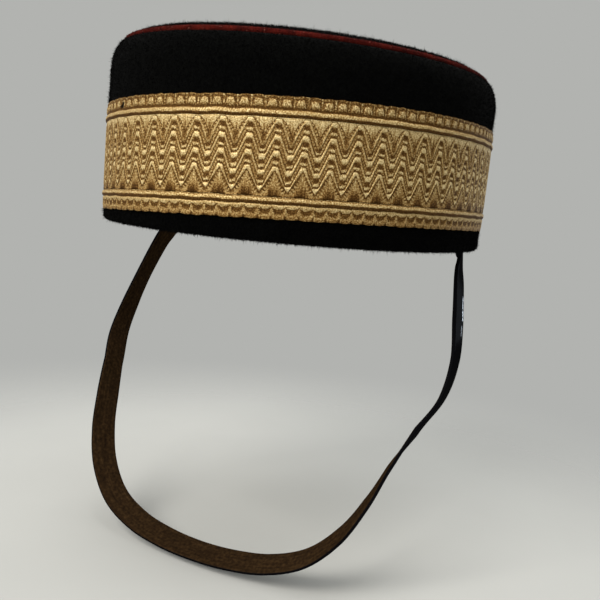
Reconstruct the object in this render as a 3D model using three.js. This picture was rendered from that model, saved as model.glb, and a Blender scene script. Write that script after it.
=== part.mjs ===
// A stiff pillbox cap of black wool cloth, with red piping round its crown, a wide band of gold lace
// and a leather chin strap. Millimetres. The rim lies in the plane Z = 0, with the head coming up from
// below. The wearer faces -Y, and the wearer's left is +X.
import * as THREE from "three";
import { mergeVertices } from "three/addons/utils/BufferGeometryUtils.js";

// The whole cap
const capWidth = 177.2; // side to side over the lace, at the rim
const capLength = 201.7; // front to back over the lace, at the rim
const crownHeight = 79.5; // rim to the top of the piping
const flare = 0.9; // how far each side leans out over the crown's height
const frontRise = 1; // the crown's front stands this much above its middle
const clearance = 0.3; // between pieces that are sewn together

// Side wall
const wallThickness = 3;
const shoulderInset = 6.1; // wall face to the piping's axis
const shoulderHeight = 12.4; // how far below the piping's axis the shoulder starts
const flangeWidth = 4.2; // edge turned in under the crown, past the piping's axis
const flangeThickness = 2.2;
const coveInset = 5; // rounded corner inside, across
const coveHeight = 7.5; // and up

// Crown seam and top
const pipingRadius = 1.5;
const crownThickness = 2.6;
const crownSeatWidth = 2.6; // flat underside along the crown's edge, where it lies on the flange
const crownEdgeHeight = 2; // straight part of the crown's edge
const crownRollWidth = 3.6; // rounding behind the piping, across
const crownBulge = 1.6; // top of that rounding above the piping
const crownDome = 1.4; // rise of the crown's middle above the rounding

// Gold lace, sewn on a little askew
const laceWidth = 45.9;
const laceThickness = 0.8;
const laceBottom = 6.2; // its lower edge above the rim, midway along the side
const laceTiltLeft = 4.1; // rise at the wearer's left, with as much fall at the right
const laceTiltFront = 1.8; // rise at the front, with as much fall at the back
const laceEdgeThickness = 0.5; // looped edge outside the borders
const laceEdgeWidth = 0.8;
const laceRibWidth = 1.9;
const laceRibHeight = 0.4;
const laceRibInset = 6.5; // each raised rib's middle from its edge of the lace

// Chin strap
const strapWidth = 12;
const strapThickness = 1.6;
const strapBevel = 0.4;
const strapDrop = 145; // rim to the strap's lowest point
const strapReach = 66; // its lowest point in front of the cap's middle
const strapTuck = 26; // how far each end runs up inside the wall
const strapSeatBack = 7; // the ends lie this far behind the cap's middle
const strapSeatTurn = -3; // degrees that turn the ends flat against the curved wall
const strapSeatGap = 1; // strap's middle to the wall, which curves nearer to its edges

// Half of the hanging loop, from the rim to its lowest point. side is a share of the ends' distance
// from the middle, forward of strapReach and drop of strapDrop. turn rolls the strap about its own
// line, in degrees, from lying with its width fore and aft.
const strapRows = [
  { side: 1.002, forward: -0.13, drop: 0.014, turn: -13 },
  { side: 1.01, forward: -0.115, drop: 0.05, turn: -10 },
  { side: 1.033, forward: -0.053, drop: 0.1, turn: -3 },
  { side: 1.08, forward: 0.057, drop: 0.215, turn: 0 },
  { side: 1.115, forward: 0.16, drop: 0.331, turn: -4 },
  { side: 1.103, forward: 0.3, drop: 0.439, turn: -6 },
  { side: 1.028, forward: 0.461, drop: 0.535, turn: -3 },
  { side: 0.956, forward: 0.609, drop: 0.633, turn: -16 },
  { side: 0.889, forward: 0.733, drop: 0.74, turn: -22 },
  { side: 0.791, forward: 0.834, drop: 0.844, turn: -26 },
  { side: 0.639, forward: 0.911, drop: 0.929, turn: -26 },
  { side: 0.438, forward: 0.96, drop: 0.976, turn: -24 },
  { side: 0.221, forward: 0.989, drop: 0.995, turn: -22 },
  { side: 0, forward: 1, drop: 1, turn: -20 },
];
const tuckedShares = [1, 0.55, 0.08]; // heights of the points inside the wall, as shares of strapTuck

// How finely the round shapes are faceted
const roundSteps = 80;
const pipingSides = 8;
const strapSteps = 140;

// Places that follow from the sizes. An offset is measured outwards from the lace's face.
const wallFace = -(laceThickness + clearance);
const wallBack = wallFace - wallThickness;
const pipingOffset = wallFace - shoulderInset;
const pipingLevel = crownHeight - pipingRadius;
const seatRadius = pipingRadius + clearance;
const flangeTop = pipingLevel - seatRadius;
const flangeUnder = flangeTop - flangeThickness;
const crownEdge = pipingOffset - seatRadius;
const meanRadius = (capWidth + capLength) / 4;

// Points on an elliptical arc, in degrees from the outward side, turning upwards.
function arc(offset, level, across, up, from, to, steps) {
  return Array.from({ length: steps + 1 }, (_, i) => {
    const angle = THREE.MathUtils.degToRad(from + ((to - from) * i) / steps);
    return [offset + across * Math.cos(angle), level + up * Math.sin(angle)];
  });
}

// A profile of [radius, height] pairs turned about Z, with its seam joined.
function turned(profile) {
  const points = profile.map(([radius, height]) => new THREE.Vector2(radius, height));
  const geometry = new THREE.LatheGeometry(points, roundSteps);
  geometry.rotateX(Math.PI / 2);
  geometry.deleteAttribute("normal");
  geometry.deleteAttribute("uv");
  return mergeVertices(geometry, 1e-4);
}

// Moves every vertex by place(x, y, z), which gives its new coordinates.
function reshaped(geometry, place) {
  const positions = geometry.getAttribute("position");
  for (let i = 0; i < positions.count; i++) {
    positions.setXYZ(i, ...place(positions.getX(i), positions.getY(i), positions.getZ(i)));
  }
  geometry.computeVertexNormals();
  return geometry;
}

// Lifts the front and lowers the back in proportion to the height above the rim.
function risen(x, y, z) {
  return [x, y, z * (1 - ((frontRise / crownHeight) * y) / (capLength / 2))];
}

// The oval that the cap follows: an offset from the lace's face, at a height, in a direction.
function onOval(directionX, directionY, offset, z) {
  const lean = (flare * z) / crownHeight;
  return [
    (capWidth / 2 + lean + offset) * directionX,
    (capLength / 2 + lean + offset) * directionY,
    z,
  ];
}

// A closed ring round the cap: its profile holds [offset, height] pairs, and tilt adds to the height.
function ovalRing(profile, tilt) {
  const closed = [...profile, profile[0]].map(([offset, z]) => [meanRadius + offset, z]);
  return reshaped(turned(closed), (x, y, z) => {
    const radius = Math.hypot(x, y);
    const [directionX, directionY] = [x / radius, y / radius];
    return tilt(directionX, directionY, radius - meanRadius, z);
  });
}

// Rings of the cap's body stand square to the rim, apart from the crown's rise.
function bodyTilt(directionX, directionY, offset, z) {
  return risen(...onOval(directionX, directionY, offset, z));
}

// The lace climbs towards the wearer's left and front, and still follows the wall's lean.
function laceTilt(directionX, directionY, offset, z) {
  const tilted = z + laceTiltLeft * directionX - laceTiltFront * directionY;
  return onOval(directionX, directionY, offset, tilted);
}

// Upright wall with a rolled rim, a rounded shoulder, a groove that cradles the piping, and an edge
// turned in under the crown.
function sideWall() {
  const rimRadius = wallThickness / 2;
  const rimMiddle = wallFace - rimRadius;
  const shoulderStart = pipingLevel - shoulderHeight;
  const flangeInner = pipingOffset - flangeWidth;
  return ovalRing(
    [
      ...arc(rimMiddle, rimRadius, rimRadius, rimRadius, -180, 0, 4),
      ...arc(pipingOffset, shoulderStart, shoulderInset, shoulderHeight, 0, 70, 5),
      ...arc(pipingOffset, pipingLevel, seatRadius, seatRadius, -5, -90, 3),
      [flangeInner, flangeTop],
      [flangeInner, flangeUnder],
      ...arc(wallBack - coveInset, flangeUnder - coveHeight, coveInset, coveHeight, 90, 0, 3),
    ],
    bodyTilt,
  );
}

// Round cord in the crown seam.
function piping() {
  const last = 360 - 360 / pipingSides;
  return ovalRing(
    arc(pipingOffset, pipingLevel, pipingRadius, pipingRadius, 0, last, pipingSides - 1),
    bodyTilt,
  );
}

// Cloth disc whose edge lies on the flange, rolls up behind the piping and domes a little.
function crownTop() {
  const edgeLean = (flare * flangeTop) / crownHeight;
  const halfWidth = capWidth / 2 + edgeLean + crownEdge;
  const halfLength = capLength / 2 + edgeLean + crownEdge;
  const radius = (halfWidth + halfLength) / 2;
  const under = flangeTop + clearance;
  const rollTop = crownHeight + crownBulge;
  const rollStart = under + crownEdgeHeight;
  const rollRadius = radius - crownRollWidth;
  const flatInner = radius - crownSeatWidth;
  const domedInner = flatInner - crownThickness;
  const dome = (share, level) => [rollRadius * share, level + crownDome * (1 - share ** 2)];
  const profile = [
    [0, rollTop - crownThickness + crownDome],
    [domedInner, rollTop - crownThickness],
    [flatInner, under],
    [radius, under],
    ...arc(rollRadius, rollStart, crownRollWidth, rollTop - rollStart, 0, 90, 4),
    dome(0.75, rollTop),
    dome(0.4, rollTop),
    dome(0, rollTop),
  ];
  return reshaped(turned(profile), (x, y, z) =>
    risen((x * halfWidth) / radius, (y * halfLength) / radius, z),
  );
}

// Band with thin looped edges and a raised rib inside each edge.
function goldLace() {
  const bottom = laceBottom;
  const top = laceBottom + laceWidth;
  const thinFace = laceEdgeThickness - laceThickness;
  const rib = (middle) => [
    [0, middle - laceRibWidth / 2],
    [laceRibHeight, middle - laceRibWidth / 4],
    [laceRibHeight, middle + laceRibWidth / 4],
    [0, middle + laceRibWidth / 2],
  ];
  return ovalRing(
    [
      [thinFace, bottom],
      [0, bottom + laceEdgeWidth],
      ...rib(bottom + laceRibInset),
      ...rib(top - laceRibInset),
      [0, top - laceEdgeWidth],
      [thinFace, top],
      [-laceThickness, top],
      [-laceThickness, bottom],
    ],
    laceTilt,
  );
}

// The strap's middle line and turn, as rows from the wearer's left end round to the right end.
function strapLine() {
  const seat = capWidth / 2 + wallBack - strapSeatGap - strapThickness / 2;
  const half = [
    ...tuckedShares.map((share) => ({
      point: new THREE.Vector3(seat, strapSeatBack, strapTuck * share),
      turn: strapSeatTurn,
    })),
    ...strapRows.map(({ side, forward, drop, turn }) => ({
      point: new THREE.Vector3(seat * side, -strapReach * forward, -strapDrop * drop),
      turn,
    })),
  ];
  const mirrored = half
    .slice(0, -1)
    .reverse()
    .map(({ point, turn }) => ({ point: new THREE.Vector3(-point.x, point.y, point.z), turn }));
  return [...half, ...mirrored];
}

// Flat strap: a bevelled section carried along the line, its width kept square to the line and as
// near fore and aft as the line allows, then turned by the row's angle.
function chinStrap() {
  const rows = strapLine();
  const line = new THREE.CatmullRomCurve3(rows.map(({ point }) => point));
  const [wide, thick] = [strapWidth / 2, strapThickness / 2];
  const section = [
    [wide - strapBevel, -thick],
    [wide, strapBevel - thick],
    [wide, thick - strapBevel],
    [wide - strapBevel, thick],
    [strapBevel - wide, thick],
    [-wide, thick - strapBevel],
    [-wide, strapBevel - thick],
    [strapBevel - wide, -thick],
  ];
  const corners = [];
  for (let step = 0; step <= strapSteps; step++) {
    const along = line.getUtoTmapping(step / strapSteps);
    const [row, part] = [Math.floor(along * (rows.length - 1)), (along * (rows.length - 1)) % 1];
    const next = Math.min(row + 1, rows.length - 1);
    const turn = THREE.MathUtils.lerp(rows[row].turn, rows[next].turn, part);
    const point = line.getPoint(along);
    const tangent = line.getTangent(along);
    const width = new THREE.Vector3(0, 1, 0).projectOnPlane(tangent).normalize();
    width.applyAxisAngle(tangent, THREE.MathUtils.degToRad(turn));
    const outward = tangent.clone().cross(width);
    for (const [across, out] of section) {
      const corner = point.clone().addScaledVector(width, across).addScaledVector(outward, out);
      corners.push(...corner);
    }
  }
  const sides = section.length;
  const faces = [];
  for (let step = 0; step < strapSteps; step++) {
    for (let side = 0; side < sides; side++) {
      const [a, b] = [step * sides + side, step * sides + ((side + 1) % sides)];
      faces.push(a, b, a + sides, b, b + sides, a + sides);
    }
  }
  const lastRing = strapSteps * sides;
  for (let side = 1; side < sides - 1; side++) {
    faces.push(0, side + 1, side);
    faces.push(lastRing, lastRing + side, lastRing + side + 1);
  }
  const geometry = new THREE.BufferGeometry();
  geometry.setAttribute("position", new THREE.Float32BufferAttribute(corners, 3));
  geometry.setIndex(faces);
  geometry.computeVertexNormals();
  return geometry;
}

const wool = new THREE.MeshStandardMaterial({ color: 0x0b0b0c, roughness: 0.95, metalness: 0 });
const redCord = new THREE.MeshStandardMaterial({ color: 0x5e1714, roughness: 0.85, metalness: 0 });
const goldThread = new THREE.MeshStandardMaterial({
  color: 0xb08a4a,
  roughness: 0.45,
  metalness: 0.7,
});
const blackLeather = new THREE.MeshStandardMaterial({
  color: 0x0d0d10,
  roughness: 0.25,
  metalness: 0,
});

const cap = new THREE.Group();
const pieces = [
  ["side_wall", sideWall(), wool],
  ["crown_top", crownTop(), wool],
  ["crown_piping", piping(), redCord],
  ["gold_lace", goldLace(), goldThread],
  ["chin_strap", chinStrap(), blackLeather],
];
for (const [name, geometry, material] of pieces) {
  const mesh = new THREE.Mesh(geometry, material);
  mesh.name = name;
  cap.add(mesh);
}

export default cap;
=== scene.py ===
# A stiff pillbox cap of black wool cloth with red piping round its crown, a wide band of gold lace and a
# leather chin strap. Lengths in the dictionaries are millimetres and the meshes are written in metres.
# The rim lies in the plane Z = 0, the wearer faces -Y, and the wearer's left is +X.
import math

import bpy
import numpy as np
from mathutils import Matrix, Vector


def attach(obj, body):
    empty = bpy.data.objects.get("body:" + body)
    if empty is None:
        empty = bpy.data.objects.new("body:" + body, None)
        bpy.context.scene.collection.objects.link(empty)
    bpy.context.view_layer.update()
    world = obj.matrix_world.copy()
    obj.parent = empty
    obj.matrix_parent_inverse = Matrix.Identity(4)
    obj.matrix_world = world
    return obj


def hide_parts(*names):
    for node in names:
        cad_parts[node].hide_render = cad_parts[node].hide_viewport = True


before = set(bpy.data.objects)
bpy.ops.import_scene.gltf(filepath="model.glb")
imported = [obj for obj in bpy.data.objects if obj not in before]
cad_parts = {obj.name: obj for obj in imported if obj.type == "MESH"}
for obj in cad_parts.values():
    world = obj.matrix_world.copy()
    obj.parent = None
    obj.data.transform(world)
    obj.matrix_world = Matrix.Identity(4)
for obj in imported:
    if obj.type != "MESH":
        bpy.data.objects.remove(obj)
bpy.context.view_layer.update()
mm = 0.001
fullTurn = 2 * math.pi
bpy.context.scene.view_settings.view_transform = "Standard"
print("frame loaded:", ", ".join(sorted(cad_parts)))

cap = {
    "width": 177.2,  # over the lace, at the rim
    "length": 201.7,
    "height": 79.5,  # rim to the top of the piping
    "flare": 0.9,  # each side leans out this much over the height
    "frontRise": 1.0,  # the crown's front stands this much above its middle
}


# Shapes


def ease(value, low, high):  # 0 below low, 1 above high, and 3t^2 - 2t^3 of the share t between them
    share = np.clip((value - low) / (high - low), 0, 1)
    return share * share * (3 - 2 * share)


def unit(vectors):  # each row over its length, which is never taken as 0
    return vectors / np.maximum(np.linalg.norm(vectors, axis=1)[:, None], 1e-12)


def runningLength(points):  # sum of the distances between neighbours, up to each point
    return np.concatenate([[0], np.cumsum(np.linalg.norm(np.diff(points, axis=0), axis=1))])


def placed(wanted, along, points):  # points at the wanted lengths, on straight lines between neighbours
    return np.stack([np.interp(wanted, along, column) for column in points.T], 1)


def ovalPoints(turn, offset, height):
    # x = (half width + lean + offset) sin(turn), y = -(half length + lean + offset) cos(turn) and
    # z = height, where lean = flare * height / cap height. Turn 0 is the front, a quarter turn the left.
    lean = cap["flare"] * height / cap["height"]
    x = (cap["width"] / 2 + lean + offset) * np.sin(turn)
    y = -(cap["length"] / 2 + lean + offset) * np.cos(turn)
    return np.stack(np.broadcast_arrays(x, y, height), -1)


def risen(points):  # z grows towards the front: z * (1 - rise / height * y / half length)
    share = cap["frontRise"] / cap["height"] * points[..., 1] / (cap["length"] / 2)
    lifted = points.copy()
    lifted[..., 2] *= 1 - share
    return lifted


def arc(offset, level, across, up, start, end, steps):
    # points (offset + across cos(angle), level + up sin(angle)) from start to end, in degrees
    angle = np.radians(np.linspace(start, end, steps))
    return np.stack([offset + across * np.cos(angle), level + up * np.sin(angle)], 1)


def evenly(profile, spacing):  # the same outline with its points about that far apart, closed or open
    along = runningLength(profile)
    return placed(np.linspace(0, along[-1], int(round(along[-1] / spacing)) + 1), along, profile)


def ripple(turn, height, seed, waves=7):
    # smooth unevenness: the sum of sin(k turn + phase) cos(m height + phase) over the root of how many
    # waves there are, with k, m and the phases drawn anew for each wave
    random = np.random.default_rng(seed)
    total = 0
    for wave in range(waves):
        around = random.integers(2, 14)
        upwards = random.uniform(0.02, 0.16)
        phases = random.uniform(0, fullTurn, 2)
        total = total + np.sin(around * turn + phases[0]) * np.cos(upwards * height + phases[1])
    return total / math.sqrt(waves)


def linked(name, data):  # an object at the origin, in the scene
    made = bpy.data.objects.new(name, data)
    bpy.context.scene.collection.objects.link(made)
    return made


def writeMesh(name, vertices, faces, maps, smooth=True):
    # faces is a list of index arrays, all quads or all triangles in each; maps holds UV values per corner
    mesh = bpy.data.meshes.new(name)
    corners = np.concatenate([part.ravel() for part in faces])
    sides = np.concatenate([np.full(len(part), part.shape[1]) for part in faces])
    mesh.vertices.add(len(vertices))
    mesh.vertices.foreach_set("co", (vertices * mm).astype(np.float32).ravel())
    mesh.loops.add(len(corners))
    mesh.loops.foreach_set("vertex_index", corners.astype(np.int32))
    mesh.polygons.add(len(sides))
    mesh.polygons.foreach_set("loop_start", (np.cumsum(sides) - sides).astype(np.int32))
    mesh.update(calc_edges=True)
    for mapName, values in maps.items():
        layer = mesh.uv_layers.new(name=mapName)
        layer.data.foreach_set("uv", values.astype(np.float32).ravel())
    if smooth:
        mesh.shade_smooth()
    return linked(name, mesh)


def volumeOf(vertices, quads):  # sixth of the sum of a . (b x c) over the triangles of each quad
    a, b, c, d = (vertices[quads[:, side]] for side in range(4))
    total = np.einsum("ij,ij->i", a, np.cross(b, c)) + np.einsum("ij,ij->i", a, np.cross(c, d))
    return total.sum() / 6


def gridPiece(name, grid, maps=None, closed=True):
    # Corner (i, j) of the grid joins (i, j + 1), (i + 1, j + 1) and (i + 1, j). Columns j always close
    # into a ring. Rows i close too, or each open end gets a fan of triangles about its mean point.
    # A map holds one more column than the grid, and one more row where the rows close.
    rows, columns = grid.shape[:2]
    i, j = np.meshgrid(np.arange(rows if closed else rows - 1), np.arange(columns), indexing="ij")
    cornerRow = np.stack([i, i, i + 1, i + 1], -1).reshape(-1, 4)
    cornerColumn = np.stack([j, j + 1, j + 1, j], -1).reshape(-1, 4)
    vertices = grid.reshape(-1, 3)
    quads = (cornerRow % rows) * columns + cornerColumn % columns
    inward = volumeOf(vertices, quads) < 0
    order = [3, 2, 1, 0] if inward else [0, 1, 2, 3]
    faces = [quads[:, order]]
    values = {}
    for key, value in (maps or {}).items():
        values[key] = value[cornerRow, cornerColumn][:, order].reshape(-1, 2)
    if not closed:
        ring = np.arange(columns)
        following = (ring + 1) % columns
        for end, first in ((0, 0), (1, (rows - 1) * columns)):
            middle = len(vertices)
            vertices = np.vstack([vertices, vertices[first : first + columns].mean(0)])
            pair = [first + ring, first + following]
            if (end == 0) != inward:
                pair.reverse()
            faces.append(np.stack([np.full(columns, middle), *pair], 1))
            for key in values:
                row = maps[key][-1 if end else 0]
                values[key] = np.vstack([values[key], np.repeat(row[:columns], 3, axis=0)])
    return writeMesh(name, vertices, faces, values)


def hairPiece(name, roots, directions, lengths, thickness, seed):
    # each hair is a closed spike: three feet round its root, 120 degrees apart, and a tip at
    # root + length * direction
    random = np.random.default_rng(seed)
    count = len(roots)
    side = unit(np.cross(directions, random.normal(size=(count, 3))))
    other = np.cross(directions, side)
    feet = []
    for third in range(3):
        angle = fullTurn * third / 3
        feet.append(roots + thickness / 2 * (math.cos(angle) * side + math.sin(angle) * other))
    tips = roots + directions * lengths[:, None]
    vertices = np.stack([*feet, tips], 1).reshape(-1, 3)
    first = 4 * np.arange(count)[:, None]
    spike = np.array([[0, 1, 3], [1, 2, 3], [2, 0, 3], [0, 2, 1]])
    return writeMesh(name, vertices, [(first[:, :, None] + spike).reshape(-1, 3)], {}, smooth=False)


def rideAs(piece, finish, slot, *nodes):  # every piece rides the one body
    piece.data.materials.append(finish)
    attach(piece, "root")
    if nodes:
        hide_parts(*nodes)
    return piece


# Finishes


def tint(red, green, blue):  # a colour read off a screen, 0 to 255, as linear light
    share = np.array([red, green, blue]) / 255
    linear = np.where(share <= 0.04045, share / 12.92, ((share + 0.055) / 1.055) ** 2.4)
    return (*(float(value) for value in linear), 1.0)


class Wire:
    # one output of a node; sums and products of wires and numbers add Math nodes
    def __init__(self, finish, socket):
        self.finish = finish
        self.socket = socket

    def maths(self, operation, *values):
        return self.finish.node("ShaderNodeMath", {"operation": operation}, dict(enumerate(values)))

    def __add__(self, other):
        return self.maths("ADD", self, other)

    def __sub__(self, other):
        return self.maths("SUBTRACT", self, other)

    def __rsub__(self, other):
        return self.maths("SUBTRACT", other, self)

    def __mul__(self, other):
        return self.maths("MULTIPLY", self, other)

    def __truediv__(self, other):
        return self.maths("DIVIDE", self, other)

    def __abs__(self):
        return self.maths("ABSOLUTE", self)

    __radd__ = __add__

    def fraction(self):
        return self.maths("FRACT", self)

    def swing(self):  # 0 to 1 and back once for each whole number
        return self.maths("SINE", self * fullTurn) * 0.5 + 0.5

    def step(self, low, high):  # 0 below low, 1 above high, smooth between
        limits = {"Value": self, "From Min": low, "From Max": high}
        return self.finish.node("ShaderNodeMapRange", {"interpolation_type": "SMOOTHSTEP"}, limits)

    def near(self, middle, reach, soft):  # 1 within reach of the middle, 0 beyond reach + soft
        return 1 - abs(self - middle).step(reach, reach + soft)


def over(tone, share, value):  # tone (1 - share) + value share, so value shows where share is 1
    return tone * (1 - share) + share * value


class Finish:
    def __init__(self, name):
        self.material = bpy.data.materials.new(name)
        self.material.use_nodes = True
        self.tree = self.material.node_tree
        self.shader = self.tree.nodes["Principled BSDF"]

    def connect(self, socket, value):
        if isinstance(value, Wire):
            self.tree.links.new(value.socket, socket)
        else:
            socket.default_value = value

    def node(self, kind, settings=None, inputs=None, output=0):
        made = self.tree.nodes.new(kind)
        for key, value in (settings or {}).items():
            if key == "stops":
                while len(made.color_ramp.elements) < len(value):
                    made.color_ramp.elements.new(0.5)
                for stop, (place, colour) in zip(made.color_ramp.elements, value):
                    stop.position = place
                    stop.color = colour
            else:
                setattr(made, key, value)
        for key, value in (inputs or {}).items():
            self.connect(made.inputs[key], value)
        return Wire(self, made.outputs[output])

    def place(self):  # Object coordinates, in metres
        return self.node("ShaderNodeTexCoord", output="Object")

    def onMap(self, name):  # the two values of a UV map
        values = self.node("ShaderNodeUVMap", {"uv_map": name})
        return [self.node("ShaderNodeSeparateXYZ", None, {0: values}, axis) for axis in (0, 1)]

    def joined(self, x, y, z=0.0):
        return self.node("ShaderNodeCombineXYZ", None, {0: x, 1: y, 2: z})

    def noise(self, place, scale, detail=3.0):
        return self.node("ShaderNodeTexNoise", None, {"Vector": place, "Scale": scale, "Detail": detail})

    def mixed(self, factor, first, second):
        return self.node("ShaderNodeMix", {"data_type": "RGBA"}, {0: factor, 6: first, 7: second}, 2)

    def bump(self, height, depth, strength=1.0):  # depth in metres
        sockets = {"Height": height, "Distance": depth, "Strength": strength}
        return self.node("ShaderNodeBump", None, sockets)

    def ramp(self, value, stops):
        return self.node("ShaderNodeValToRGB", {"stops": stops}, {0: value})

    def tints(self, value, stops):  # stops hold screen colours
        return self.ramp(value, [(place, tint(*colour)) for place, colour in stops])

    def curve(self, value, stops):  # straight lines between (place, height) pairs
        return self.ramp(value, [(place, (height, height, height, 1.0)) for place, height in stops])

    def surface(self, **sockets):
        for key, value in sockets.items():
            self.connect(self.shader.inputs[key], value)
        return self.material


# Cloth wall and crown

wall = {
    "thickness": 3.0,
    "face": -1.1,  # outside of the lace to the cloth's face
    "shoulderInset": 6.1,  # cloth's face to the piping's middle
    "shoulderHeight": 12.4,
    "flangeWidth": 4.2,
    "flangeThickness": 2.2,
    "coveInset": 5.0,
    "coveHeight": 7.5,
    "shoulderEnd": 70,  # degrees of its arc, which the piping's groove then cuts off
    "unevenness": 0.22,
    "fadeIn": (1, 6),  # heights between which the unevenness comes in, and goes out again
    "fadeOut": (66, 74),
    "spacing": 1.4,
    "columns": 320,
}
piping = {
    "radius": 1.5,
    "gap": 0.3,
    "unevenness": 0.06,
    "lumps": 190,  # round the cap, in groups that swell and fade
    "groups": 23,
    "columns": 720,
    "sides": 16,
    "twillSpacing": 0.55,
    "twillSlant": 3,  # whole twills that the slant makes round the cord
    "stops": [(0.3, (28, 6, 4)), (0.52, (62, 12, 8)), (0.75, (98, 30, 20))],
    "fleck": (176, 118, 104),
    "blotchScale": 260,
    "fibreScale": 2600,
    "fleckScale": 1300,
    "fleckShare": 0.45,
    "bumpDepth": 0.00015,  # metres
}
pipingOffset = wall["face"] - wall["shoulderInset"]
pipingLevel = cap["height"] - piping["radius"]
seatRadius = piping["radius"] + piping["gap"]


def wallOutside():  # (offset, height) pairs of the rim, the face and the shoulder
    half = wall["thickness"] / 2
    level = pipingLevel - wall["shoulderHeight"]
    rim = arc(wall["face"] - half, half, half, half, -180, 0, 12)
    sizes = (wall["shoulderInset"], wall["shoulderHeight"])
    return np.vstack([rim, arc(pipingOffset, level, *sizes, 0, wall["shoulderEnd"], 14)])


def wallProfile():  # the outside, then the groove for the piping, the flange and the inside
    back = wall["face"] - wall["thickness"]
    inner = pipingOffset - wall["flangeWidth"]
    top = pipingLevel - seatRadius
    under = top - wall["flangeThickness"]
    coveMiddle = (back - wall["coveInset"], under - wall["coveHeight"])
    return np.vstack(
        [
            wallOutside(),
            arc(pipingOffset, pipingLevel, seatRadius, seatRadius, -5, -90, 6),
            [[inner, top], [inner, under]],
            arc(*coveMiddle, wall["coveInset"], wall["coveHeight"], 90, 0, 10),
            [[back, wall["thickness"] / 2]],
        ]
    )


def wallPoints(turn, offset, height):
    # the oval's point with a slight unevenness along the offset, which fades at the seams
    fade = ease(height, *wall["fadeIn"]) * (1 - ease(height, *wall["fadeOut"]))
    uneven = wall["unevenness"] * ripple(turn, height, 11) * fade
    return risen(ovalPoints(turn, offset + uneven, height))


wool = {
    "dark": (2, 2, 2),  # colours as read off a screen
    "pale": (7, 8, 7),
    "coarseScale": 900,
    "fineScale": 3200,
    "coarseShare": 0.6,
    "bumpDepth": 0.0004,  # metres
}


def woolFinish():
    # milled cloth: short matted fibres in two sizes, and faint grey where they catch the light
    finish = Finish("blackWool")
    place = finish.place()
    coarse = finish.noise(place, wool["coarseScale"], 4.0)
    fine = finish.noise(place, wool["fineScale"], 2.0)
    fibres = coarse * wool["coarseShare"] + fine * (1 - wool["coarseShare"])
    colour = finish.mixed(fibres.step(0.4, 0.75), tint(*wool["dark"]), tint(*wool["pale"]))
    return finish.surface(
        **{
            "Base Color": colour,
            "Roughness": 0.96,
            "Specular IOR Level": 0.04,
            "Sheen Weight": 0.006,
            "Sheen Roughness": 0.5,
            "Normal": finish.bump(fibres, wool["bumpDepth"], 0.7),
        }
    )


woolMaterial = woolFinish()
wallOutline = evenly(wallProfile(), wall["spacing"])[:-1]
turns = np.linspace(0, fullTurn, wall["columns"], endpoint=False)
wallGrid = wallPoints(turns[None, :], wallOutline[:, :1], wallOutline[:, 1:])
rideAs(gridPiece("woolSideWall", wallGrid), woolMaterial, "black_wool", "side_wall")
print("side wall made")

crown = {
    "thickness": 2.6,
    "seatWidth": 2.6,  # flat underside along the edge, on the flange
    "edgeHeight": 2.0,
    "rollWidth": 3.6,
    "bulge": 1.9,  # the rounding behind the piping stands this much above it
    "dome": 1.4,
    "unevenness": 0.3,
    "edgeFade": (20, 4),  # distances from the edge between which the unevenness goes out
    "middleFade": 40,  # radius within which the unevenness that goes round fades too
    "spacing": 1.6,
    "columns": 240,
}
crownEdge = pipingOffset - seatRadius
crownUnder = pipingLevel - seatRadius + piping["gap"]
edgeLean = cap["flare"] * (pipingLevel - seatRadius) / cap["height"]
crownHalf = np.array([cap["width"] / 2, cap["length"] / 2]) + edgeLean + crownEdge
crownRadius = crownHalf.mean()


def crownProfile():  # (radius, height) pairs from the middle of the underside round to the top's middle
    top = cap["height"] + crown["bulge"]
    rollRadius = crownRadius - crown["rollWidth"]
    start = crownUnder + crown["edgeHeight"]
    flat = crownRadius - crown["seatWidth"]
    share = np.linspace(0.99, 0, 40)[:, None]
    dome = np.hstack([rollRadius * share, top + crown["dome"] * (1 - share**2)])
    underside = [
        [0, top - crown["thickness"] + crown["dome"]],
        [flat - crown["thickness"], top - crown["thickness"]],
        [flat, crownUnder],
        [crownRadius, crownUnder],
    ]
    roll = arc(rollRadius, start, crown["rollWidth"], top - start, 0, 90, 10)
    return np.vstack([underside, roll, dome])


def crownPoints(turn, radius, height):
    # x and y = radius times the half width or half length over the mean radius, with a slight
    # unevenness of the height that fades at the edge
    fade = 1 - ease(radius, *(crownRadius - distance for distance in crown["edgeFade"]))
    around = fade * ease(radius, 0, crown["middleFade"])
    level = height + crown["unevenness"] * ripple(turn * 0, radius, 5) * fade
    level = level + crown["unevenness"] * ripple(turn, radius, 6) * around
    x = radius * crownHalf[0] / crownRadius * np.sin(turn)
    y = -radius * crownHalf[1] / crownRadius * np.cos(turn)
    return risen(np.stack(np.broadcast_arrays(x, y, level), -1))


crownOutline = evenly(crownProfile(), crown["spacing"])[1:-1]
turns = np.linspace(0, fullTurn, crown["columns"], endpoint=False)
crownGrid = crownPoints(turns[None, :], crownOutline[:, :1], crownOutline[:, 1:])
rideAs(gridPiece("woolCrown", crownGrid, closed=False), woolMaterial, "black_wool", "crown_top")
print("crown made")


def pipingPoints(turn, side):
    # a ring of circles round the piping's middle, with the radius r + u sin(lumps turn + 3 side)
    # cos(groups turn)
    lumps = np.sin(turn * piping["lumps"] + 3 * side) * np.cos(turn * piping["groups"])
    radius = piping["radius"] + piping["unevenness"] * lumps
    offset = pipingOffset + radius * np.cos(side)
    return risen(ovalPoints(turn, offset, pipingLevel + radius * np.sin(side)))


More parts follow.
